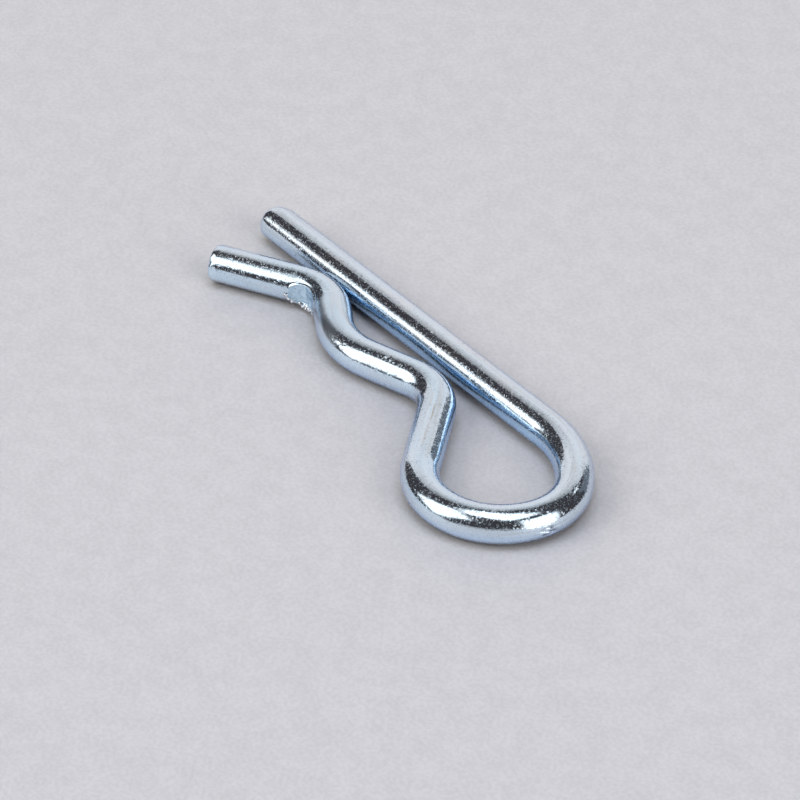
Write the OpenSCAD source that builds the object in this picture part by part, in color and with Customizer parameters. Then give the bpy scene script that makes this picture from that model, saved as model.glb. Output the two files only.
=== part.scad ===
// Hitch clip bent from one length of round wire. It lies flat in the XY plane.
// The straight leg goes through the cross hole of a shaft and the wavy arm grips the shaft's
// outside. The origin is on the straight leg's axis, where the shaft's own axis crosses it.
// +X runs along the leg towards the eye, and +Y from the arm towards the leg.

/* [Wire] */
// Diameter of the round wire
wire_d = 3.2; // [3:0.05:3.3]
// How much each bend step takes off the wire's radius, where bending stretches it
bend_draw = 0.01; // [0.005:0.005:0.02]
// Radius that rounds the rim of the straight leg's end
leg_end_r = 0.6; // [0.2:0.05:1]
// Radius that rounds the rim of the wavy arm's end
tail_end_r = 0.3; // [0.1:0.05:1]

/* [Straight leg] */
// Length of the straight leg, from its end to where the eye starts
leg_l = 37.3; // [35:0.1:42]

/* [Eye] */
// Bend radius of the wide arc on the leg's side
eye_side_r = 9.7; // [9:0.1:10.5]
// Angle of the wide arc
eye_side_a = 47.5; // [45:0.5:50]
// Bend radius of the tight arc at the clip's far end
eye_end_r = 5.4; // [5:0.1:6]
// Angle of the tight arc
eye_end_a = 57; // [54:0.5:60]
// Bend radius of the long arc that turns back and in towards the leg
eye_back_r = 6.4; // [6:0.1:7]
// Angle of the long arc
eye_back_a = 123; // [120:0.5:126]

/* [Wavy arm] */
// Bend radius of the shoulder, where the arm turns to run beside the leg
shoulder_r = 4.5; // [4:0.1:5]
// Angle of the shoulder
shoulder_a = 64.5; // [62:0.5:67]
// Straight stretch between the shoulder and the belly
flank_l = 4.5; // [4:0.1:5]
// Bend radius of the belly, which seats on the shaft
belly_r = 6.8; // [6.3:0.1:7.3]
// Angle of the belly
belly_a = 48.5; // [46:0.5:51]
// Straight stretch between the belly and the crest
rise_l = 2; // [1.5:0.1:2.5]
// Bend radius of the crest, which presses on the leg
crest_r = 4.5; // [4:0.1:5]
// Angle of the crest
crest_a = 60; // [57:0.5:63]
// Length of the straight tail that flares away from the leg
tail_l = 8.1; // [6:0.1:10]
// Gap left between the crest and the leg when nothing is held
crest_gap = 0.05; // [0.03:0.01:0.3]

/* [Forming mark] */
// Radius of the forming peg that marked the inside of the crest
peg_r = 1.9; // [1.7:0.1:2.1]
// Depth of the mark in the wire
mark_depth = 0.4; // [0.2:0.05:0.5]
// Angle round the crest from its top to the middle of the mark, towards the tail
mark_turn = 8; // [0:1:12]

/* [Hidden] */
$fn = 64;

wire_r = wire_d / 2;

// How far each bend runs on inside its neighbours, so that they join
lap = 0.1;

// A straight stretch of the wire is [length]. A bend is [radius, turn, steps]: it turns by that
// many degrees, positive to the left, and its wire is that many bend steps thinner.
EYE = [
    [eye_side_r, -eye_side_a, 1],
    [eye_end_r, -eye_end_a, 2],
    [eye_back_r, -eye_back_a, 1]
];
ARM = [
    [shoulder_r, shoulder_a, 1],
    [flank_l],
    [belly_r, -belly_a, 1],
    [rise_l],
    [crest_r, crest_a, 1],
    [tail_l]
];
BELLY = 2;
CREST = 4;

function is_straight(s) = len(s) == 1;

// The centre of bend s, which starts at point p = [x, y, heading]
function centre(p, s) =
    let (side = sign(s[1]))
    [p.x - side * s[0] * sin(p.z), p.y + side * s[0] * cos(p.z)];

// The point [x, y, heading] at the far end of stretch s, which starts at point p
function past(p, s) =
    is_straight(s)
    ? [p.x + s[0] * cos(p.z), p.y + s[0] * sin(p.z), p.z]
    : let (c = centre(p, s), side = sign(s[1]), h = p.z + s[1])
      [c.x + side * s[0] * sin(h), c.y - side * s[0] * cos(h), h];

// The point where stretch number i of a path starts, for a path that starts at point p
function station(p, path, i) =
    i == 0 ? p : past(station(p, path, i - 1), path[i - 1]);

// The neck runs from the eye to the shoulder. Its length puts the crest's top one wire diameter
// and the gap away from the leg's axis.
eye_out = station([leg_l, 0, 0], EYE, len(EYE));
crest_y_no_neck = centre(station(eye_out, ARM, CREST), ARM[CREST]).y + crest_r;
neck_l = (-wire_d - crest_gap - crest_y_no_neck) / sin(eye_out.z);

PATH = concat([[leg_l]], EYE, [[neck_l]], ARM);
ARM_START = len(PATH) - len(ARM);

// The belly is deepest beside the shaft's axis, so it sets where the leg starts
START = [-centre(station([0, 0, 0], PATH, ARM_START + BELLY), ARM[BELLY]).x, 0, 0];

crest_centre = centre(station(START, PATH, ARM_START + CREST), ARM[CREST]);

// Puts its children at point p, with +X along the wire
module at(p) {
    translate([p.x, p.y, 0])
        rotate([0, 0, p.z])
            children();
}

// A straight stretch from the origin along +X
module straight(l) {
    rotate([0, 90, 0])
        cylinder(h = l, r = wire_r);
}

// A bend that starts at the origin along +X, and runs on by the lap at both its ends
module bend(s) {
    side = sign(s[1]);
    lap_a = lap / s[0] * 180 / PI;
    first_a = (side > 0 ? -90 : 90 + s[1]) - lap_a;
    translate([0, side * s[0], 0])
        rotate([0, 0, first_a])
            rotate_extrude(angle = abs(s[1]) + 2 * lap_a)
                translate([s[0], 0])
                    circle(r = wire_r - s[2] * bend_draw);
}

// A straight end of the wire, from its sheared face at the origin along +X.
// The rim of the face is rounded to radius e.
module sheared_end(l, e) {
    rotate([0, 90, 0])
        rotate_extrude() {
            square([wire_r - e, l]);
            translate([0, e])
                square([wire_r, l - e]);
            translate([wire_r - e, e])
                intersection() {
                    circle(r = e);
                    translate([0, -e])
                        square([e, 2 * e]);
                }
        }
}

// The upright peg that the crest was bent round
module forming_peg() {
    bite = crest_r - wire_r + mark_depth - peg_r;
    translate([crest_centre.x, crest_centre.y, -wire_d])
        rotate([0, 0, 90 + mark_turn])
            translate([bite, 0, 0])
                cylinder(h = 2 * wire_d, r = peg_r);
}

module clip_wire() {
    last = len(PATH) - 1;
    tail_tip = station(START, PATH, last + 1);
    color([0.78, 0.82, 0.88])
        difference() {
            union() {
                at(START)
                    sheared_end(leg_l, leg_end_r);
                for (i = [1 : last - 1])
                    at(station(START, PATH, i))
                        if (is_straight(PATH[i]))
                            straight(PATH[i][0]);
                        else
                            bend(PATH[i]);
                at([tail_tip.x, tail_tip.y, tail_tip.z + 180])
                    sheared_end(tail_l, tail_end_r);
            }
            forming_peg();
        }
}

clip_wire();
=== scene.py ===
"""A hitch clip bent from round wire, bright zinc plated, lying on pale felt under soft studio light."""

import logging
import math
from dataclasses import dataclass, field
from enum import Enum

import bmesh
import bpy
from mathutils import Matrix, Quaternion, Vector, noise


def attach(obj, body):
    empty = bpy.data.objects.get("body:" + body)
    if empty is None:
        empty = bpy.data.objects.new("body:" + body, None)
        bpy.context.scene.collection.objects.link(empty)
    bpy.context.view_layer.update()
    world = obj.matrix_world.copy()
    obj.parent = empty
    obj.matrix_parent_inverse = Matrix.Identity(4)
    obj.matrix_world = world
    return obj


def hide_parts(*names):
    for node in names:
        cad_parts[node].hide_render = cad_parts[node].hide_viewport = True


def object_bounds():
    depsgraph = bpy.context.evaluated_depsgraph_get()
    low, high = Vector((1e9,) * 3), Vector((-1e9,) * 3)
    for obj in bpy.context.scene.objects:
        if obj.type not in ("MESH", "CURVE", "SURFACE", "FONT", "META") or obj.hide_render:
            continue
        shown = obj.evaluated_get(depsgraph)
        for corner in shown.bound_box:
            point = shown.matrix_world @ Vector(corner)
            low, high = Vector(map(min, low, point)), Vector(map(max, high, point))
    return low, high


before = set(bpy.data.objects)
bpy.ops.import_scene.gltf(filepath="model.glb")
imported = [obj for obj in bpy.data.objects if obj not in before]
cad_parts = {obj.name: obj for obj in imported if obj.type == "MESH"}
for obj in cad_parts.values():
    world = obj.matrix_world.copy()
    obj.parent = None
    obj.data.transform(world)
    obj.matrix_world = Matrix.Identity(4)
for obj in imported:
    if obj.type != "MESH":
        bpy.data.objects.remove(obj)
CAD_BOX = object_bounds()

LOG = logging.getLogger("hitch_clip")
MM = 0.001
SAME = 1e-5  # places closer than this, in mm, are the same

Pair = tuple[float, float]
Triple = tuple[float, float, float]
Socket = bpy.types.NodeSocket


class Turn(Enum):
    """Which way a bend turns, seen from above and followed from the straight leg's end."""

    LEFT = 1
    RIGHT = -1


@dataclass(frozen=True)
class Station:
    """A place on the wire's centreline.

    Attributes:
        x: Position along the straight leg's direction, in mm.
        y: Position across it, in mm.
        heading: Direction of the wire there, in degrees.
    """

    x: float
    y: float
    heading: float


@dataclass(frozen=True)
class Straight:
    """A straight stretch of the wire.

    Attributes:
        length: Its length, in mm.
        spacing: Distance between its rings of vertices, in mm.
        thinner: How much was taken off the wire's radius, in mm.
    """

    length: float
    spacing: float = 0.25
    thinner: float = 0.0

    def reach(self, start: Station, run: float) -> Station:
        """Finds the place on the centreline that lies a run, in mm, past the start."""
        a = math.radians(start.heading)
        return Station(start.x + run * math.cos(a), start.y + run * math.sin(a), start.heading)


@dataclass(frozen=True)
class Bend:
    """A stretch of the wire bent to one radius.

    Attributes:
        radius: Radius of its centreline, in mm.
        angle: How far it turns, in degrees.
        turn: Which way it turns.
        thinner: How much bending took off the wire's radius, in mm.
        spacing: Distance between its rings of vertices, in mm.
    """

    radius: float
    angle: float
    turn: Turn
    thinner: float = 0.01
    spacing: float = 0.15

    @property
    def length(self) -> float:
        """Returns the length of the bend's centreline, in mm."""
        return self.radius * math.radians(self.angle)

    def centre(self, start: Station) -> Vector:
        """Finds the bend's centre.

        Args:
            start: Where the bend starts.

        Returns:
            The centre in the clip's plane, in mm.
        """
        a = math.radians(start.heading)
        side = self.turn.value * self.radius
        return Vector((start.x - side * math.sin(a), start.y + side * math.cos(a), 0.0))

    def reach(self, start: Station, run: float) -> Station:
        """Finds the place a distance along this bend.

        Args:
            start: Where the bend starts.
            run: Distance from the start, in mm.

        Returns:
            The place on the centreline.
        """
        c = self.centre(start)
        heading = start.heading + self.turn.value * math.degrees(run / self.radius)
        a = math.radians(heading)
        side = self.turn.value * self.radius
        return Station(c.x + side * math.sin(a), c.y - side * math.cos(a), heading)


Stretch = Straight | Bend


def share(value: float) -> float:
    """Returns the value, kept from 0 to 1."""
    return min(max(value, 0.0), 1.0)


def place_mesh(name: str, bm: bmesh.types.BMesh) -> bpy.types.Object:
    """Puts a mesh into the scene as an object, and frees it.

    Args:
        name: Name of the object and its mesh.
        bm: The mesh.

    Returns:
        The object.
    """
    mesh = bpy.data.meshes.new(name)
    bm.to_mesh(mesh)
    bm.free()
    thing = bpy.data.objects.new(name, mesh)
    bpy.context.scene.collection.objects.link(thing)
    return thing


def show_in_metal(thing: bpy.types.Object, glow: bpy.types.Material) -> None:
    """Makes a panel or card glow, but only as the metal reflects it.

    Args:
        thing: The panel or card.
        glow: Its material.
    """
    thing.visible_camera = False
    thing.visible_diffuse = False
    thing.visible_shadow = False
    thing.data.materials.append(glow)


class Graph:
    """The node tree of a material or a world, with short calls that add its nodes and join them."""

    def __init__(self, owner: bpy.types.Material | bpy.types.World) -> None:
        """Starts an empty tree.

        Args:
            owner: The new material or world.
        """
        owner.use_nodes = True
        self.owner = owner
        self.tree = owner.node_tree
        self.tree.nodes.clear()

    def add(self, kind: str, inputs: dict | None = None, **settings: object) -> bpy.types.Node:
        """Adds one node.

        Args:
            kind: The node's type, such as "ShaderNodeBump".
            inputs: Socket name to a number, a colour or another node's output.
            **settings: Properties of the node itself.

        Returns:
            The new node.
        """
        node = self.tree.nodes.new(kind)
        for key, value in settings.items():
            setattr(node, key, value)
        for key, value in (inputs or {}).items():
            if isinstance(value, Socket):
                self.tree.links.new(value, node.inputs[key])
            else:
                node.inputs[key].default_value = value
        return node

    def noise(self, where: Socket, scale: float, detail: float = 2.0, output: int | str = 0) -> Socket:
        """Adds noise from 0 to 1: one pattern, or three as a colour from its output "Color"."""
        inputs = {"Vector": where, "Scale": scale, "Detail": detail}
        return self.add("ShaderNodeTexNoise", inputs).outputs[output]

    def math(self, operation: str, a: object, b: object = 0.0) -> Socket:
        """Works out numbers, by an operation such as "MULTIPLY"."""
        return self.add("ShaderNodeMath", {0: a, 1: b}, operation=operation).outputs[0]

    def vector(self, operation: str, a: object, b: object = (0.0, 0.0, 0.0)) -> Socket:
        """Works out vectors, by an operation such as "MULTIPLY"."""
        return self.add("ShaderNodeVectorMath", {0: a, 1: b}, operation=operation).outputs[0]

    def ramp(self, value: object, low: float, high: float, to_low: object = 0.0,
             to_high: object = 1.0) -> Socket:
        """Stretches a pattern smoothly, so that low gives to_low and high gives to_high."""
        inputs = {"Value": value, "From Min": low, "From Max": high, "To Min": to_low, "To Max": to_high}
        return self.add("ShaderNodeMapRange", inputs, interpolation_type="SMOOTHSTEP").outputs["Result"]

    def mix(self, factor: object, a: object, b: object) -> Socket:
        """Mixes two colours, where the factor is how much of b shows."""
        return self.add("ShaderNodeMix", {0: factor, 6: a, 7: b}, data_type="RGBA").outputs[2]

    def tilt(self, normal: object, pattern: object, slope: object) -> Socket:
        """Tilts a normal by a colour pattern.

        Args:
            normal: The normal.
            pattern: Three patterns from 0 to 1, as a colour.
            slope: How far a full step of them tilts it.

        Returns:
            The tilted normal.
        """
        level = self.vector("SUBTRACT", pattern, (0.5, 0.5, 0.5))
        lean = self.add("ShaderNodeVectorMath", {0: level, "Scale": slope}, operation="SCALE").outputs[0]
        return self.vector("NORMALIZE", self.vector("ADD", lean, normal))

    def patch(self, where: Socket, place: Triple, reach: Triple, core: float = 0.4) -> Socket:
        """Marks out a soft-edged patch.

        Args:
            where: The coordinates that it reads.
            place: The patch's middle.
            reach: How far it reaches along each axis.
            core: Share of that reach over which it is full.

        Returns:
            A pattern that is 1 in the patch's core and 0 outside the patch.
        """
        part = self.vector("DIVIDE", self.vector("SUBTRACT", where, place), reach)
        length = self.add("ShaderNodeVectorMath", {0: part}, operation="LENGTH").outputs["Value"]
        return self.ramp(length, 1.0, core)

    def finish(self, surface: Socket) -> bpy.types.Material:
        """Joins the shader to the material's output, and returns the material."""
        self.add("ShaderNodeOutputMaterial", {"Surface": surface})
        return self.owner


@dataclass(frozen=True)
class Scuff:
    """A patch of the plating that is scratched through.

    Attributes:
        place: Its middle on the straight blank, in mm.
        reach: How far it reaches along the wire, across it and up, in mm.
        tilt: How far its scratches tilt the surface, as a slope.
        scratches_per_mm: Scratches along the wire, across it and up for each millimetre.
    """

    place: Triple
    reach: Triple
    tilt: float
    scratches_per_mm: Triple = (3.0, 6.0, 6.0)


@dataclass(frozen=True)
class Stain:
    """A discoloured streak of the plating.

    Attributes:
        place: Its middle on the straight blank, in mm.
        reach: How far it reaches along the wire, across it and up, in mm.
        colour: Its reflection colour, linear.
        strength: How much of it shows in the streak's middle.
    """

    place: Triple
    reach: Triple
    colour: Triple = (0.52, 0.45, 0.34)
    strength: float = 0.6


@dataclass(frozen=True)
class PlateLayers:
    """What the patterns of the plate are laid over.

    Attributes:
        blank: Place on the straight blank, in mm.
        mark: Where the forming peg burnished the wire.
        burr: Where the peg tore up a burr.
        grains: A colour of its own for each grain of the plating.
        grain: A level of its own for each grain, from 0 to 1.
        dull: Where bending dulled the plate.
    """

    blank: Socket
    mark: Socket
    burr: Socket
    grains: Socket
    grain: Socket
    dull: Socket


@dataclass(frozen=True)
class ZincPlate:
    """Bright blue-white zinc plate over drawn wire.

    Attributes:
        colour: Its reflection colour, linear.
        warm_colour: Reflection colour where the plate is less blue.
        warm_until: Where along the wire the plate turns from warm to blue, in mm.
        leg_warmth: Share of the warm colour before that.
        streaks_per_mm: Warm streaks across the wire for each millimetre.
        streak_stretch: How much shorter the streaks are across the wire than along it.
        streak_levels: Levels of the streaks' pattern where they start and are full.
        streak_warmth: Share of the warm colour in a full streak.
        painted_inner_shade: Painted shade and painted reflection on the lower inside of the clip's loop: a
            darker, bluer reflection colour, linear.
        inner_side: How far in from the wire's middle that painted shade starts and is full, in mm.
        inner_under: How far below the wire's middle it starts and is full, in mm.
        painted_under_reflection: Painted reflection on the wire's underside: a bluer reflection colour,
            linear.
        under: How far below the wire's middle that painted reflection starts and is full, in mm.
        blue_from: Where along the wire the painted inner shade and the painted underside reflection start
            and are full, in mm.
        blue_before: How much of them shows before that.
        blue_until: Where along the wire they fade and end, in mm.
        edge_tint: Tint of reflections at the very edge of sight.
        line_colour: Reflection colour of the fine drawing lines.
        lines_per_mm: Drawing lines across the wire for each millimetre.
        line_stretch: How much shorter the lines are across the wire than along it.
        line_levels: Levels of the lines' pattern where they start and are full.
        line_share: Share of their colour in a full line.
        smooth: Roughness of the smooth grains.
        rough: Roughness of the roughest grains.
        smooth_share: Share of the grains that are smooth.
        dull_bend: Where along the wire bending dulled the plate: start, full, full and end, in mm.
        dull_rough: Roughness of the plate there.
        dull_specks: Share of the steep grains' tilt that is left there.
        grains_per_mm: Grains of the plating for each millimetre.
        grain_tilt: How far each grain's face is tilted, as a slope.
        specks_per_mm: Size of the steep grains, for each millimetre.
        speck_share: Share of the grains that aren't steep.
        speck_tilt: How far the steepest grains are tilted, as a slope.
        peel_per_mm: Waves of the plating for each millimetre.
        peel_tilt: How far those waves tilt the surface, as a slope.
        painted_cloth_shade: Share of black painted into the plate for light that bounces from the cloth,
            which paints deeper shade on the cloth round the wire.
        mark_colour: Reflection colour of the burnished mark.
        mark_rough: Roughness of the mark.
        mark_dents_per_mm: Dents in the mark's face for each millimetre.
        mark_tilt: How far those dents tilt it, as a slope.
        burr_colour: Reflection colour of the torn burr.
        burr_rough: Roughness of the burr.
        burr_tilt: How far the burr's facets are tilted, as a slope.
        scuffs: Scuffed patches.
        stains: Discoloured streaks.
    """

    colour: Triple = (0.69, 0.845, 0.97)
    warm_colour: Triple = (0.775, 0.825, 0.865)
    warm_until: Pair = (36.0, 48.0)
    leg_warmth: float = 0.35
    streaks_per_mm: float = 1.1
    streak_stretch: float = 6.0
    streak_levels: Pair = (0.40, 0.70)
    streak_warmth: float = 0.45
    # painted shade on the loop's lower inside, and a painted reflection on the underside
    painted_inner_shade: Triple = (0.53, 0.76, 1.0)
    inner_side: Pair = (0.2, 1.4)
    inner_under: Pair = (-1.1, 0.1)
    painted_under_reflection: Triple = (0.62, 0.78, 0.97)
    under: Pair = (-0.3, 0.9)
    blue_from: Pair = (2.0, 13.0)
    blue_before: float = 0.2
    blue_until: Pair = (84.0, 92.0)
    edge_tint: Triple = (0.80, 0.79, 0.87)
    line_colour: Triple = (0.57, 0.62, 0.66)
    lines_per_mm: float = 3.0
    line_stretch: float = 25.0
    line_levels: Pair = (0.50, 0.75)
    line_share: float = 0.6
    smooth: float = 0.10
    rough: float = 0.30
    smooth_share: float = 0.5
    dull_bend: tuple[float, float, float, float] = (82.5, 85.0, 88.5, 90.5)
    dull_rough: float = 0.27
    dull_specks: float = 0.4
    grains_per_mm: float = 9.0
    grain_tilt: float = 0.02
    specks_per_mm: float = 8.0
    speck_share: float = 0.5
    speck_tilt: float = 0.23
    peel_per_mm: float = 2.2
    peel_tilt: float = 0.02
    # painted shade on the cloth: the plate is blacked by this share for bounced light
    painted_cloth_shade: float = 0.8
    mark_colour: Triple = (0.65, 0.85, 0.98)
    mark_rough: float = 0.28
    mark_dents_per_mm: float = 4.0
    mark_tilt: float = 1.6
    burr_colour: Triple = (0.93, 0.95, 0.97)
    burr_rough: float = 0.32
    burr_tilt: float = 0.5
    scuffs: tuple[Scuff, ...] = (
        Scuff((50.3, 1.6, -0.1), (0.9, 0.5, 0.7), 3.2, (2.0, 7.0, 7.0)),
        Scuff((46.7, 1.0, 1.25), (0.25, 0.5, 0.5), 0.7),
        Scuff((78.7, 0.6, 1.5), (0.7, 0.5, 0.5), 0.7, (5.0, 5.0, 5.0)),
        Scuff((83.1, 1.05, 1.2), (0.7, 0.6, 0.6), 0.6),
        Scuff((40.6, 0.1, 1.6), (1.4, 0.8, 0.5), 0.2),
        Scuff((91.45, 1.45, -0.35), (0.95, 0.6, 0.8), 4.8, (7.0, 7.0, 7.0)),
    )
    stains: tuple[Stain, ...] = (
        Stain((69.4, -0.12, 1.6), (1.7, 0.10, 0.3)),
        Stain((66.4, -0.02, 1.6), (2.2, 0.12, 0.3), strength=0.35),
        Stain((71.0, 0.30, 1.56), (1.6, 0.10, 0.3), strength=0.35),
        Stain((69.8, -0.42, 1.55), (2.6, 0.08, 0.3), strength=0.25),
    )

    def build(self) -> bpy.types.Material:
        """Builds the material.

        Returns:
            The zinc plate, which reads the wire's "blank" coordinates, in mm, "mark" and "burr".
        """
        g = Graph(bpy.data.materials.new("zinc_plate"))
        on = self.layers(g)
        shader = g.add("ShaderNodeBsdfPrincipled", {"Base Color": self.tint(g, on), "Metallic": 1.0,
                                                    "Specular Tint": (*self.edge_tint, 1.0),
                                                    "Roughness": self.gloss(g, on),
                                                    "Normal": self.relief(g, on)})
        return g.finish(shader.outputs["BSDF"])

    def layers(self, g: Graph) -> PlateLayers:
        """Reads the wire's layers and lays out the grains.

        Args:
            g: The material's nodes.

        Returns:
            What the patterns are laid over.
        """
        blank = g.add("ShaderNodeAttribute", attribute_name="blank").outputs["Vector"]
        mark = g.add("ShaderNodeAttribute", attribute_name="mark").outputs["Fac"]
        burr = g.add("ShaderNodeAttribute", attribute_name="burr").outputs["Fac"]
        cells = g.add("ShaderNodeTexVoronoi", {"Vector": blank, "Scale": self.grains_per_mm})
        grains = cells.outputs["Color"]
        grain = g.add("ShaderNodeSeparateColor", {"Color": grains}).outputs[1]
        along = g.add("ShaderNodeSeparateXYZ", {0: blank}).outputs["X"]
        start, full, still_full, end = self.dull_bend
        dull = g.math("MULTIPLY", g.ramp(along, start, full), g.ramp(along, still_full, end, 1.0, 0.0))
        return PlateLayers(blank, mark, burr, grains, grain, dull)

    def relief(self, g: Graph, on: PlateLayers) -> Socket:
        """Tilts the surface by its waves, grains, dents and scratches.

        Args:
            g: The material's nodes.
            on: What the patterns are laid over.

        Returns:
            The normal.
        """
        specks = g.add("ShaderNodeTexVoronoi", {"Vector": on.blank, "Scale": self.specks_per_mm})
        normal = g.add("ShaderNodeNewGeometry").outputs["Normal"]
        normal = g.tilt(normal, g.noise(on.blank, self.peel_per_mm, output="Color"), self.peel_tilt)
        normal = g.tilt(normal, on.grains, self.grain_tilt)
        steepest = g.ramp(on.dull, 0.0, 1.0, self.speck_tilt, self.dull_specks * self.speck_tilt)
        steepness = g.math("MULTIPLY", g.ramp(on.grain, self.speck_share, 1.0), steepest)
        steepness = g.ramp(on.burr, 0.0, 1.0, steepness, self.burr_tilt)
        normal = g.tilt(normal, specks.outputs["Color"], steepness)
        dents = g.noise(on.blank, self.mark_dents_per_mm, detail=3.0, output="Color")
        normal = g.tilt(normal, dents, g.math("MULTIPLY", on.mark, self.mark_tilt))
        for scuff in self.scuffs:
            scratches = g.noise(g.vector("MULTIPLY", on.blank, scuff.scratches_per_mm), 1.0, output="Color")
            slope = g.math("MULTIPLY", g.patch(on.blank, scuff.place, scuff.reach), scuff.tilt)
            normal = g.tilt(normal, scratches, slope)
        return normal

    def gloss(self, g: Graph, on: PlateLayers) -> Socket:
        """Sets how rough the grains, the dulled bend, the mark and the burr are.

        Args:
            g: The material's nodes.
            on: What the patterns are laid over.

        Returns:
            The roughness.
        """
        roughness = g.ramp(on.grain, self.smooth_share, 1.0, self.smooth, self.rough)
        roughness = g.ramp(on.dull, 0.0, 1.0, roughness, self.dull_rough)
        roughness = g.ramp(on.mark, 0.0, 1.0, roughness, self.mark_rough)
        return g.ramp(on.burr, 0.0, 1.0, roughness, self.burr_rough)

    def tint(self, g: Graph, on: PlateLayers) -> Socket:
        """Colours the plate, its streaks, lines and stains, the mark and the burr.

        Args:
            g: The material's nodes.
            on: What the patterns are laid over.

        Returns:
            The reflection colour.
        """
        place = g.add("ShaderNodeSeparateXYZ", {0: on.blank})
        along = place.outputs["X"]
        inwards = g.math("MULTIPLY", place.outputs["Y"], -1.0)
        down = g.math("MULTIPLY", place.outputs["Z"], -1.0)
        stretched = g.vector("DIVIDE", on.blank, (self.streak_stretch, 1.0, 1.0))
        streaks = g.noise(stretched, self.streaks_per_mm)
        warm = g.math("ADD", g.ramp(streaks, *self.streak_levels, 0.0, self.streak_warmth),
                      g.ramp(along, *self.warm_until, self.leg_warmth, 0.0))
        colour = g.mix(warm, (*self.colour, 1.0), (*self.warm_colour, 1.0))
        drawn_out = g.vector("DIVIDE", on.blank, (self.line_stretch, 1.0, 1.0))
        lines = g.noise(drawn_out, self.lines_per_mm, detail=3.0)
        lines = g.ramp(lines, *self.line_levels, 0.0, self.line_share)
        colour = g.mix(lines, colour, (*self.line_colour, 1.0))
        # Painted light: the lower inside of the loop gets painted shade, a darker and bluer painted
        # reflection of shaded cloth, and the underside gets a bluer painted reflection, along the stretch
        # that blue marks out.
        blue = g.math("MULTIPLY", g.ramp(along, *self.blue_from, self.blue_before, 1.0),
                      g.ramp(along, *self.blue_until, 1.0, 0.0))
        under = g.math("MULTIPLY", blue, g.ramp(down, *self.under))
        colour = g.mix(under, colour, (*self.painted_under_reflection, 1.0))
        inner = g.math("MULTIPLY", g.ramp(inwards, *self.inner_side), g.ramp(down, *self.inner_under))
        colour = g.mix(g.math("MULTIPLY", blue, inner), colour, (*self.painted_inner_shade, 1.0))
        for stain in self.stains:
            stained = g.math("MULTIPLY", g.patch(on.blank, stain.place, stain.reach), stain.strength)
            colour = g.mix(stained, colour, (*stain.colour, 1.0))
        colour = g.mix(on.mark, colour, (*self.mark_colour, 1.0))
        colour = g.mix(on.burr, colour, (*self.burr_colour, 1.0))
        # Painted shade: where light bounced from the cloth meets the plate, the plate is mixed towards
        # black by painted_cloth_shade, so that it throws less light back and the cloth's shade round the
        # wire is deeper.
        to_cloth = g.add("ShaderNodeLightPath").outputs["Is Diffuse Ray"]
        return g.mix(g.math("MULTIPLY", to_cloth, self.painted_cloth_shade), colour, (0.0, 0.0, 0.0, 1.0))


@dataclass(frozen=True)
class PaleFelt:
    """The pale cloth that the clip lies on.

    Attributes:
        colour: Its colour, linear.
        fibre_per_m: Fibres for each metre.
        fibre_depth: Height of the nap, in metres.
        fibre_shade: Brightness of the darkest fibres, as a share of the colour.
        mottle_per_m: Mottles for each metre.
        mottle_shade: Brightness of the darkest mottles, as a share of the colour.
        levels: Levels of both patterns where they are darkest and full.
        rough: Its roughness.
    """

    colour: Triple = (0.640, 0.644, 0.641)
    fibre_per_m: float = 3000.0
    fibre_depth: float = 0.00004
    fibre_shade: float = 0.915
    mottle_per_m: float = 500.0
    mottle_shade: float = 0.955
    levels: Pair = (0.3, 0.7)
    rough: float = 0.6

    def build(self) -> bpy.types.Material:
        """Builds the material.

        Returns:
            The cloth, which reads Object coordinates.
        """
        g = Graph(bpy.data.materials.new("pale_felt"))
        where = g.add("ShaderNodeTexCoord").outputs["Object"]
        nap = g.noise(where, self.fibre_per_m, detail=3.0)
        fibres = g.ramp(nap, *self.levels, self.fibre_shade, 1.0)
        mottles = g.noise(where, self.mottle_per_m, detail=3.0)
        shade = g.math("MULTIPLY", fibres, g.ramp(mottles, *self.levels, self.mottle_shade, 1.0))
        colour = g.mix(shade, (0.0, 0.0, 0.0, 1.0), (*self.colour, 1.0))
        relief = g.add("ShaderNodeBump", {"Height": nap, "Distance": self.fibre_depth})
        shader = g.add("ShaderNodeBsdfPrincipled", {"Base Color": colour, "Roughness": self.rough,
                                                    "Normal": relief.outputs["Normal"]})
        return g.finish(shader.outputs["BSDF"])


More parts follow.
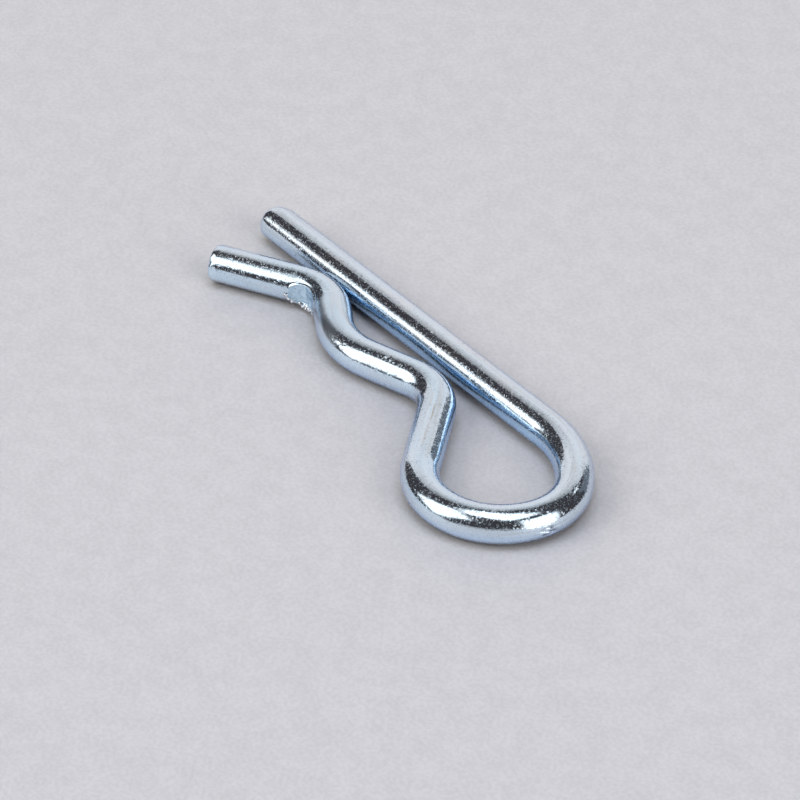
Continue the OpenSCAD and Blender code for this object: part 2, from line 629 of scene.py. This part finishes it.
@dataclass(frozen=True)
class PegMark:
    """The forming peg's mark on the inside of the crest, and the burr that it raised.

    Attributes:
        radius: Radius of the peg, in mm.
        depth: Depth of the mark, in mm.
        turn: Angle from the crest's top to the mark's middle, in degrees.
        low_burr: How far the burr stands out of the mark's lower rim, in mm.
        burr_width: Width of that burr, in mm.
        ragged_per_mm: Teeth of the burr for each millimetre.
        ledge: Heights where the mark starts to run out at its bottom and where it ends, in mm.
        high_lip: How far a thin lip stands out of the upper rim, in mm.
        lip_width: Half the width of that lip and of the groove behind it, in mm.
        chatter: Unevenness of the mark's face, in mm.
        full_bite: Depth from which the wire counts as burnished, in mm.
        ragged: Share of the ledge that stays, and how far that varies.
        torn: Share of the burr that stands, and how far that varies.
        burr_out: How far outside the rim the burr is highest, in widths of the burr.
        torn_full: Share of the burr's height from which the wire counts as torn.
        groove_out: How far outside the rim the groove is deepest, in lip widths.
        reach: How far outside the rim the peg changed the wire, in widths of the burr.
    """

    radius: float = 1.9
    depth: float = 0.4
    turn: float = 8.0
    low_burr: float = 0.36
    burr_width: float = 0.22
    ragged_per_mm: float = 3.4
    ledge: Pair = (-0.72, -0.95)
    high_lip: float = 0.02
    lip_width: float = 0.07
    chatter: float = 0.012
    full_bite: float = 0.03
    ragged: Pair = (0.6, 1.2)
    torn: Pair = (0.6, 1.5)
    burr_out: float = 0.3
    torn_full: float = 0.5
    groove_out: float = 1.8
    reach: float = 2.0

    def axis(self, bend_centre: Vector, inner_radius: float) -> Vector:
        """Finds the peg's axis.

        Args:
            bend_centre: Centre of the crest, in mm.
            inner_radius: Distance from that centre to the wire's inner side, in mm.

        Returns:
            Where the peg stood in the clip's plane, in mm.
        """
        a = math.radians(90.0 + self.turn)
        off = inner_radius + self.depth - self.radius
        return bend_centre + off * Vector((math.cos(a), math.sin(a), 0.0))

    def press(self, bm: bmesh.types.BMesh, axis: Vector) -> None:
        """Presses the mark and raises its burr. The "mark" and "burr" layers show where.

        Args:
            bm: The formed wire, which is changed.
            axis: The peg's axis, in mm.
        """
        mark = bm.verts.layers.float.new("mark")
        burr = bm.verts.layers.float.new("burr")
        for vert in bm.verts:
            out = Vector((vert.co.x - axis.x, vert.co.y - axis.y, 0.0))
            bite = self.radius - out.length
            if bite < -self.reach * self.burr_width:
                continue
            out.normalize()
            rough = noise.noise(vert.co * self.ragged_per_mm)
            up = vert.co.z
            if bite > 0.0:
                runs_out = (self.ledge[0] - up) / (self.ledge[0] - self.ledge[1])
                kept = share(runs_out) * share(self.ragged[0] + self.ragged[1] * rough)
                vert.co += out * (bite + self.chatter * rough) * (1.0 - kept)
                vert[mark] = min(1.0, bite / self.full_bite) * (1.0 - kept)
                vert[burr] = kept
            if up < 0.0:
                rim = share(1.0 - abs(bite / self.burr_width + self.burr_out))
                raised = rim * share(self.torn[0] + self.torn[1] * rough)
                vert.co -= out * self.low_burr * raised
                vert[burr] = max(vert[burr], share(raised / self.torn_full))
            else:
                lip = share(1.0 - abs(bite / self.lip_width))
                groove = share(1.0 - abs(bite / self.lip_width + self.groove_out))
                vert.co += (Vector((0.0, 0.0, 1.0)) - out) * self.high_lip * (lip - groove)


@dataclass(frozen=True)
class ShearedEnd:
    """How one sheared end of the wire is shaped: rolled over on one side, and dented.

    Attributes:
        reach: How far along the wire the shears deformed it, in mm.
        roll: Depth of the roll-over, in mm.
        side: Side that it is on, across the wire and up.
        dent: Depth of the dents, in mm.
        dents_per_mm: Dents for each millimetre.
        dented: Share of the rim that is dented, and how far that varies.
    """

    reach: float
    roll: float
    side: Pair = (0.78, 0.63)
    dent: float = 0.03
    dents_per_mm: float = 1.8
    dented: Pair = (0.3, 1.5)

    def shape(self, bm: bmesh.types.BMesh, end: float) -> None:
        """Deforms the blank's end inwards.

        Args:
            bm: The straight blank, which is changed.
            end: Where the end is along the blank, in mm.
        """
        side = Vector((0.0, *self.side))
        for vert in bm.verts:
            near = 1.0 - abs(vert.co.x - end) / self.reach
            if near <= 0.0:
                continue
            across = Vector((0.0, vert.co.y, vert.co.z))
            facing = max(0.0, across.dot(side))
            dented = share(self.dented[0] + self.dented[1] * noise.noise(vert.co * self.dents_per_mm))
            vert.co -= side * min(self.roll * near * near * facing, facing)
            vert.co -= across * self.dent * near * dented


@dataclass
class ClipWire:
    """The clip: one round wire, sheared, rounded at its ends and bent flat.

    Attributes:
        wire_d: Diameter of the wire, in mm.
        leg_end_r: Radius round the rim of the straight leg's end, in mm.
        tail_end_r: Radius round the rim of the wavy arm's end, in mm.
        leg_end: How the straight leg's end is sheared.
        tail_end: How the wavy arm's end is sheared.
        path: The wire's stretches, from the straight leg's end.
        neck_at: Number of the neck in the path. Its length is set so that the crest lies beside the leg.
        belly_at: Number of the belly in the path.
        crest_at: Number of the crest in the path.
        crest_gap: Gap between the crest and the leg, in mm.
        peg: The forming peg's mark on the crest.
        fine_half: Half the length of the finer mesh round that mark, in mm.
        fine_side: How far inside the wire's middle that mesh starts, in mm.
        fine_cuts: Cuts of each edge there.
        sides: Vertices in each ring round the wire.
        face_steps: Edges from the middle of each end's face to its rim.
        rim_steps: Edges across each rounded rim.
        ease: Length over which a bend's thinning starts and ends, in mm.
    """

    wire_d: float = 3.2
    leg_end_r: float = 0.6
    tail_end_r: float = 0.3
    leg_end: ShearedEnd = ShearedEnd(reach=1.6, roll=0.31)
    tail_end: ShearedEnd = ShearedEnd(reach=0.9, roll=0.06, dent=0.07)
    path: list[Stretch] = field(default_factory=lambda: [
        Straight(37.3),
        Bend(9.7, 47.5, Turn.RIGHT),
        Bend(5.4, 57.0, Turn.RIGHT, thinner=0.02),
        Bend(6.4, 123.0, Turn.RIGHT),
        Straight(7.0),
        Bend(4.5, 64.5, Turn.LEFT),
        Straight(4.5),
        Bend(6.8, 48.5, Turn.RIGHT),
        Straight(2.0, spacing=0.15),
        Bend(4.5, 60.0, Turn.LEFT, spacing=0.1),
        Straight(8.1, spacing=0.12),
    ])
    neck_at: int = 4
    belly_at: int = 7
    crest_at: int = 9
    crest_gap: float = 0.05
    peg: PegMark = PegMark()
    fine_half: float = 2.1
    fine_side: float = 0.2
    fine_cuts: int = 2
    sides: int = 128
    face_steps: int = 6
    rim_steps: int = 8
    ease: float = 0.8

    def __post_init__(self) -> None:
        """Sets the neck's length, so that the crest ends up beside the leg, and where the leg starts."""
        self.origin = Station(0.0, 0.0, 0.0)
        crest = self.path[self.crest_at]
        neck = self.path[self.neck_at]
        crest_y = crest.centre(self.station(self.crest_at)).y + crest.radius
        rise = math.sin(math.radians(self.station(self.neck_at).heading))
        more = (-self.wire_d - self.crest_gap - crest_y) / rise
        self.path[self.neck_at] = Straight(neck.length + more)
        belly = self.path[self.belly_at]
        self.origin = Station(-belly.centre(self.station(self.belly_at)).x, 0.0, 0.0)

    def station(self, number: int) -> Station:
        """Finds where a stretch of the path starts.

        Args:
            number: The stretch's number.

        Returns:
            The place on the centreline.
        """
        here = self.origin
        for stretch in self.path[:number]:
            here = stretch.reach(here, stretch.length)
        return here

    def blank(self) -> bmesh.types.BMesh:
        """Makes the straight blank: a round bar along X with rounded ends, with a ring at each station.

        Returns:
            The blank, in mm.
        """
        bm = bmesh.new()
        r = self.wire_d / 2
        total = sum(s.length for s in self.path)
        tip = bm.verts.new((0.0, 0.0, 0.0))
        last = self._drag(bm, tip, (0.0, r - self.leg_end_r, 0.0), self.face_steps)
        last = self._round(bm, last, (self.leg_end_r, r - self.leg_end_r, 0.0))
        done = self.leg_end_r
        for number, stretch in enumerate(self.path):
            ends_at = done + stretch.length
            if number == 0:
                ends_at -= self.leg_end_r
            if number == len(self.path) - 1:
                ends_at -= self.tail_end_r
            run = ends_at - done
            last = self._drag(bm, last, (run, 0.0, 0.0), max(1, round(run / stretch.spacing)))
            done = ends_at
        last = self._round(bm, last, (done, r - self.tail_end_r, 0.0))
        last = self._drag(bm, last, (0.0, self.tail_end_r - r, 0.0), self.face_steps)
        last.co.y = 0.0  # right on the axis, so that the spin closes the end
        bmesh.ops.spin(bm, geom=bm.verts[:] + bm.edges[:], cent=(0.0, 0.0, 0.0), axis=(1.0, 0.0, 0.0),
                       angle=math.tau, steps=self.sides, use_merge=True)
        bmesh.ops.remove_doubles(bm, verts=bm.verts[:], dist=SAME)
        bmesh.ops.recalc_face_normals(bm, faces=bm.faces[:])
        self._refine(bm)
        LOG.info("blank: %.1f mm of wire, %d faces", total, len(bm.faces))
        return bm

    def _refine(self, bm: bmesh.types.BMesh) -> None:
        """Makes the blank's mesh finer where the peg will mark it.

        Args:
            bm: The blank, which is changed.
        """
        crest = self.path[self.crest_at]
        turned = 180.0 + self.peg.turn - self.station(self.crest_at).heading % 360.0
        middle = sum(s.length for s in self.path[:self.crest_at]) + crest.radius * math.radians(turned)
        near = [v for v in bm.verts if abs(v.co.x - middle) < self.fine_half and v.co.y > self.fine_side]
        chosen = set(near)
        edges = [e for e in bm.edges if e.verts[0] in chosen and e.verts[1] in chosen]
        made = bmesh.ops.subdivide_edges(bm, edges=edges, cuts=self.fine_cuts, use_grid_fill=True)
        for item in made["geom_inner"]:
            if isinstance(item, bmesh.types.BMVert):
                out = self.wire_d / 2 / math.hypot(item.co.y, item.co.z)
                item.co = Vector((item.co.x, item.co.y * out, item.co.z * out))

    @staticmethod
    def _drag(bm: bmesh.types.BMesh, vert: bmesh.types.BMVert, move: Triple,
              steps: int) -> bmesh.types.BMVert:
        """Draws a straight line of equal edges on from a vertex.

        Args:
            bm: The mesh.
            vert: The vertex to go on from.
            move: The whole line's extent, in mm.
            steps: Number of edges.

        Returns:
            The line's last vertex.
        """
        step = Vector(move) / steps
        for _ in range(steps):
            vert = bmesh.ops.extrude_vert_indiv(bm, verts=[vert])["verts"][0]
            bmesh.ops.translate(bm, verts=[vert], vec=step)
        return vert

    def _round(self, bm: bmesh.types.BMesh, vert: bmesh.types.BMVert,
               centre: Triple) -> bmesh.types.BMVert:
        """Draws a quarter circle on from a vertex, which rounds an end's rim.

        Args:
            bm: The mesh.
            vert: The vertex to go on from.
            centre: The quarter circle's centre, in mm.

        Returns:
            The arc's last vertex.
        """
        made = bmesh.ops.spin(bm, geom=[vert], cent=centre, axis=(0.0, 0.0, -1.0), angle=math.pi / 2,
                              steps=self.rim_steps)
        return next(e for e in made["geom_last"] if isinstance(e, bmesh.types.BMVert))

    def form(self, bm: bmesh.types.BMesh) -> None:
        """Bends the straight blank along the path.

        Each vertex keeps its place across the wire. Its place along the wire gives its station.

        Args:
            bm: The blank, which is changed.
        """
        marks = [0.0]
        for stretch in self.path:
            marks.append(marks[-1] + stretch.length)
        starts = [self.station(number) for number in range(len(self.path))]
        flat = bm.verts.layers.float_vector.new("blank")
        for vert in bm.verts:
            vert[flat] = vert.co
            along = min(max(vert.co.x, 0.0), marks[-1])
            number = next(n for n in range(len(self.path)) if along <= marks[n + 1] + SAME)
            here = self.path[number].reach(starts[number], along - marks[number])
            a = math.radians(here.heading)
            slim = 1.0 - self._thinning(number, along - marks[number]) / (self.wire_d / 2)
            across = vert.co.y * slim
            up = vert.co.z * slim
            vert.co = Vector((here.x - across * math.sin(a), here.y + across * math.cos(a), up))

    def _thinning(self, number: int, run: float) -> float:
        """Works out how much thinner the wire's radius is, easing in and out at a bend's ends.

        Args:
            number: The stretch's number.
            run: Distance from the stretch's start, in mm.

        Returns:
            The loss of radius, in mm.
        """
        stretch = self.path[number]
        thinner = stretch.thinner
        for beside, away in ((number - 1, run), (number + 1, stretch.length - run)):
            if 0 <= beside < len(self.path):
                step = max(0.0, self.path[beside].thinner - stretch.thinner)
                thinner += step * max(0.0, 1.0 - away / self.ease)
        return thinner

    def build(self) -> bpy.types.Object:
        """Makes the finished wire.

        Returns:
            The wire's object.
        """
        bm = self.blank()
        self.leg_end.shape(bm, 0.0)
        self.tail_end.shape(bm, sum(s.length for s in self.path))
        self.form(bm)
        crest = self.path[self.crest_at]
        axis = self.peg.axis(crest.centre(self.station(self.crest_at)), crest.radius - self.wire_d / 2)
        self.peg.press(bm, axis)
        bmesh.ops.scale(bm, verts=bm.verts[:], vec=(MM, MM, MM))
        for face in bm.faces:
            face.smooth = True
        return place_mesh("formed_wire", bm)

    def dress(self, piece: bpy.types.Object, finish: ZincPlate) -> None:
        """Gives the wire its finish and ties it to the frame.

        Args:
            piece: The wire.
            finish: Its plating.
        """
        piece.data.materials.append(finish.build())
        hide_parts("clip_wire")
        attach(piece, "root")
        LOG.info("%s: %d vertices", piece.name, len(piece.data.vertices))


@dataclass(frozen=True)
class Aim:
    """Where a rectangle stands that faces the clip, and the angle that it fills.

    Attributes:
        bearing: Degrees clockwise from straight away from the camera.
        from_zenith: Degrees down from straight above.
        half_across: Half the angle it fills sideways, in degrees.
        half_along: Half the angle it fills up and down, in degrees.
        turned: Turn about the line to the clip, in degrees.
        distance: Distance to the clip, in metres.
    """

    bearing: float
    from_zenith: float
    half_across: float
    half_along: float
    turned: float = 0.0
    distance: float = 0.6

    def half_size(self, inset: float = 0.0) -> Pair:
        """Returns half its width and height, in metres, less an angle in degrees at each edge."""
        return (self.distance * math.tan(math.radians(self.half_across - inset)),
                self.distance * math.tan(math.radians(self.half_along - inset)))


@dataclass(frozen=True)
class Viewpoint:
    """The camera, which looks down on the clip from the eye's side.

    Attributes:
        azimuth: Direction that the camera stands in, in degrees from -Y towards +X.
        elevation: Angle above the ground, in degrees.
        distance: Distance to the point it looks at, in metres.
        aim: That point on the ground, from the middle of the clip's box, in metres.
        lens: Focal length, in mm.
        sensor: Width of the sensor, in mm.
        nearest: Distance from which it sees things, in metres.
    """

    azimuth: float = 52.485
    elevation: float = 37.155
    distance: float = 0.36665
    aim: Pair = (0.00158, 0.00078)
    lens: float = 202.4
    sensor: float = 36.0
    nearest: float = 0.01

    def target(self) -> Vector:
        """Returns the point on the ground that the camera looks at."""
        low, high = (Vector(corner) for corner in CAD_BOX)
        middle = (low + high) / 2
        return Vector((middle.x + self.aim[0], middle.y + self.aim[1], low.z))

    def bearing(self, angle: float) -> Vector:
        """Finds a level direction seen from the camera.

        Args:
            angle: Degrees clockwise from straight away from the camera.

        Returns:
            The unit direction.
        """
        a = math.radians(self.azimuth)
        away = Vector((-math.sin(a), math.cos(a), 0.0))
        right = Vector((math.cos(a), math.sin(a), 0.0))
        b = math.radians(angle)
        return away * math.cos(b) + right * math.sin(b)

    def face_clip(self, thing: bpy.types.Object, aim: Aim) -> None:
        """Puts a light or panel where it faces the clip.

        Args:
            thing: The light or panel, whose back points along its own +Z.
            aim: Where it stands.
        """
        tilt = math.radians(aim.from_zenith)
        out = self.bearing(aim.bearing) * math.sin(tilt) + Vector((0.0, 0.0, math.cos(tilt)))
        thing.location = self.target() + out * aim.distance
        turn = Quaternion((0.0, 0.0, 1.0), math.radians(aim.turned))
        thing.rotation_euler = (out.to_track_quat("Z", "Y") @ turn).to_euler()

    def build(self) -> None:
        """Makes the camera and makes it the scene's."""
        data = bpy.data.cameras.new("camera")
        data.sensor_width = self.sensor
        data.lens = self.lens
        data.clip_start = self.nearest
        camera = bpy.data.objects.new("camera", data)
        bpy.context.scene.collection.objects.link(camera)
        rise = math.radians(self.elevation)
        back = Vector((0.0, 0.0, math.sin(rise))) - self.bearing(0.0) * math.cos(rise)
        camera.location = self.target() + back * self.distance
        camera.rotation_euler = back.to_track_quat("Z", "Y").to_euler()
        bpy.context.scene.camera = camera


@dataclass(frozen=True)
class Softbox:
    """A studio light. It lights the cloth, and a panel stands for it in the metal.

    Attributes:
        name: Its name.
        aim: Where it stands.
        radiance: How bright its face is, where 1 is white.
        colour: Colour of its light, linear.
    """

    name: str
    aim: Aim
    radiance: float
    colour: Triple

    def build(self, view: Viewpoint) -> None:
        """Makes the light.

        Args:
            view: The viewpoint that its bearing is measured from.
        """
        data = bpy.data.lights.new(self.name, "AREA")
        data.shape = "RECTANGLE"
        across, along = self.aim.half_size()
        data.size = 2 * across
        data.size_y = 2 * along
        data.energy = self.radiance * math.pi * data.size * data.size_y
        data.color = self.colour
        lamp = bpy.data.objects.new(self.name, data)
        bpy.context.scene.collection.objects.link(lamp)
        lamp.visible_glossy = False
        view.face_clip(lamp, self.aim)


@dataclass(frozen=True)
class GlowPanel:
    """A panel with soft edges that only shows in the metal.

    Attributes:
        name: Its name.
        aim: Where it stands.
        edge: Angle over which it darkens at each edge, in degrees.
        radiance: How bright its middle is, where 1 is white.
    """

    name: str
    aim: Aim
    edge: float
    radiance: float

    def build(self, view: Viewpoint) -> None:
        """Makes the panel.

        Args:
            view: The viewpoint that its bearing is measured from.
        """
        bm = bmesh.new()
        bmesh.ops.create_grid(bm, x_segments=1, y_segments=1, size=1.0)
        bmesh.ops.scale(bm, verts=bm.verts[:], vec=(*self.aim.half_size(), 1.0))
        panel = place_mesh(self.name, bm)
        view.face_clip(panel, self.aim)
        show_in_metal(panel, self.glow())

    def glow(self) -> bpy.types.Material:
        """Builds the panel's material.

        Returns:
            The glowing material, clear where it is dark, which reads Object coordinates.
        """
        g = Graph(bpy.data.materials.new(self.name))
        where = g.add("ShaderNodeTexCoord").outputs["Object"]
        place = g.add("ShaderNodeSeparateXYZ", {0: where})
        outer = self.aim.half_size()
        inner = self.aim.half_size(self.edge)
        across = g.ramp(g.math("ABSOLUTE", place.outputs["X"]), outer[0], inner[0])
        along = g.ramp(g.math("ABSOLUTE", place.outputs["Y"]), outer[1], inner[1], to_high=self.radiance)
        light = g.add("ShaderNodeEmission", {"Strength": g.math("MULTIPLY", across, along)})
        clear = g.add("ShaderNodeBsdfTransparent")
        both = g.add("ShaderNodeAddShader", {0: light.outputs[0], 1: clear.outputs[0]})
        return g.finish(both.outputs[0])


@dataclass(frozen=True)
class GlowCard:
    """An upright pale card that only shows in the metal.

    Attributes:
        name: Its name.
        bearing: Degrees clockwise from straight away from the camera.
        distance: Distance to the clip, in metres.
        left: How far it reaches to the left, in metres.
        right: How far it reaches to the right, in metres.
        height: Height of its top edge, in metres.
        colour: Its brightness and colour, linear.
        fade: Height that it starts to darken at, in metres. It is dark at its top edge.
    """

    name: str
    bearing: float
    distance: float
    left: float
    right: float
    height: float
    colour: Triple
    fade: float | None = None

    def build(self, view: Viewpoint) -> None:
        """Makes the card.

        Args:
            view: The viewpoint that its bearing is measured from.
        """
        foot = view.target() + view.bearing(self.bearing) * self.distance
        side = view.bearing(self.bearing + 90.0)
        up = Vector((0.0, 0.0, self.height))
        bm = bmesh.new()
        first = bm.verts.new(foot - side * self.left)
        edge = bmesh.ops.extrude_vert_indiv(bm, verts=[first])
        bmesh.ops.translate(bm, verts=edge["verts"], vec=side * (self.left + self.right))
        wall = bmesh.ops.extrude_edge_only(bm, edges=edge["edges"])
        tops = [v for v in wall["geom"] if isinstance(v, bmesh.types.BMVert)]
        bmesh.ops.translate(bm, verts=tops, vec=up)
        show_in_metal(place_mesh(self.name, bm), self.glow(view.target().z))

    def glow(self, ground: float) -> bpy.types.Material:
        """Builds the card's material.

        Args:
            ground: Height of the ground, in metres.

        Returns:
            The glowing material, which reads Object coordinates.
        """
        g = Graph(bpy.data.materials.new(self.name))
        light = g.add("ShaderNodeEmission", {"Color": (*self.colour, 1.0)})
        if self.fade is not None:
            where = g.add("ShaderNodeTexCoord").outputs["Object"]
            up = g.add("ShaderNodeSeparateXYZ", {0: where}).outputs["Z"]
            inputs = {"Value": up, "From Min": ground + self.fade, "From Max": ground + self.height,
                      "To Min": 1.0, "To Max": 0.0}
            level = g.add("ShaderNodeMapRange", inputs).outputs["Result"]
            g.tree.links.new(level, light.inputs["Strength"])
        return g.finish(light.outputs["Emission"])


@dataclass
class Studio:
    """The ground, lights and cards around the clip.

    Attributes:
        view: The viewpoint that the lights are set round.
        ground_size: Half the width of the ground, in metres.
        room: Colour of the dark room, linear.
        horizon: Colour of the room where the camera sees it, linear.
        softboxes: The lights.
        panels: What stands for the lights in the metal.
        cards: Pale cards round the clip.
    """

    view: Viewpoint
    ground_size: float = 1.5
    room: Triple = (0.052, 0.046, 0.050)
    horizon: Triple = (0.63, 0.63, 0.665)
    softboxes: tuple[Softbox, ...] = (
        Softbox("top_box", Aim(176.0, 8.5, 22.5, 16.0, -30.0, 1.5), 3.47, (0.75, 0.84, 1.0)),
        Softbox("left_box", Aim(-106.0, 53.0, 21.2, 20.2, -5.0, 1.5), 2.82, (1.0, 0.975, 0.95)),
        Softbox("right_box", Aim(134.0, 69.2, 19.0, 22.5, -2.3, 1.5), 2.94, (1.0, 0.95, 0.90)),
        Softbox("back_box", Aim(0.0, 62.0, 38.0, 24.0), 0.53, (1.0, 0.93, 0.40)),
        Softbox("fill_box", Aim(0.0, 0.0, 60.0, 60.0, 0.0, 0.8), 0.21, (0.83, 0.70, 1.0)),
    )
    panels: tuple[GlowPanel, ...] = (
        GlowPanel("top_panel", Aim(174.4, 8.3, 27.0, 20.5, -45.0), 12.0, 2.1),
        GlowPanel("left_panel", Aim(-106.0, 56.3, 24.7, 30.6, -29.7, 1.5), 12.0, 2.0),
        GlowPanel("right_panel", Aim(134.4, 72.0, 24.5, 33.0, -5.0), 12.0, 2.3),
        GlowPanel("strip_panel", Aim(56.0, 51.0, 7.5, 2.5), 1.5, 2.0),
    )
    cards: tuple[GlowCard, ...] = (
        GlowCard("back_card", 0.0, 0.6, 0.46, 0.52, 1.25, (0.885, 0.84, 0.84), fade=0.42),
        GlowCard("side_card", 55.0, 0.6, 0.14, 0.14, 0.28, (0.15, 0.16, 0.18)),
        GlowCard("front_card", 180.0, 0.9, 0.9, 0.9, 0.14, (0.45, 0.45, 0.48)),
    )

    def ground(self, finish: PaleFelt) -> None:
        """Makes the ground that the clip lies on.

        Args:
            finish: Its cloth.
        """
        bm = bmesh.new()
        bmesh.ops.create_grid(bm, x_segments=1, y_segments=1, size=self.ground_size)
        bmesh.ops.translate(bm, verts=bm.verts[:], vec=(0.0, 0.0, CAD_BOX[0][2]))
        ground = place_mesh("ground", bm)
        ground.data.materials.append(finish.build())

    def surround(self) -> None:
        """Sets the room: dark in the metal, pale where the camera sees past the ground."""
        world = bpy.data.worlds.new("studio")
        bpy.context.scene.world = world
        g = Graph(world)
        seen = g.add("ShaderNodeLightPath").outputs["Is Camera Ray"]
        colour = g.mix(seen, (*self.room, 1.0), (*self.horizon, 1.0))
        back = g.add("ShaderNodeBackground", {"Color": colour})
        g.add("ShaderNodeOutputWorld", {"Surface": back.outputs["Background"]})

    def build(self) -> None:
        """Builds the ground, the room and the lights."""
        self.ground(PaleFelt())
        self.surround()
        for light in (*self.softboxes, *self.panels, *self.cards):
            light.build(self.view)
        LOG.info("studio built")


def main() -> None:
    """Builds the clip, the camera and the studio in order."""
    logging.basicConfig(level=logging.INFO, format="%(name)s: %(message)s")
    bpy.context.scene.view_settings.view_transform = "Standard"
    clip = ClipWire()
    clip.dress(clip.build(), ZincPlate())
    view = Viewpoint()
    view.build()
    Studio(view).build()


if __name__ == "__main__":
    main()
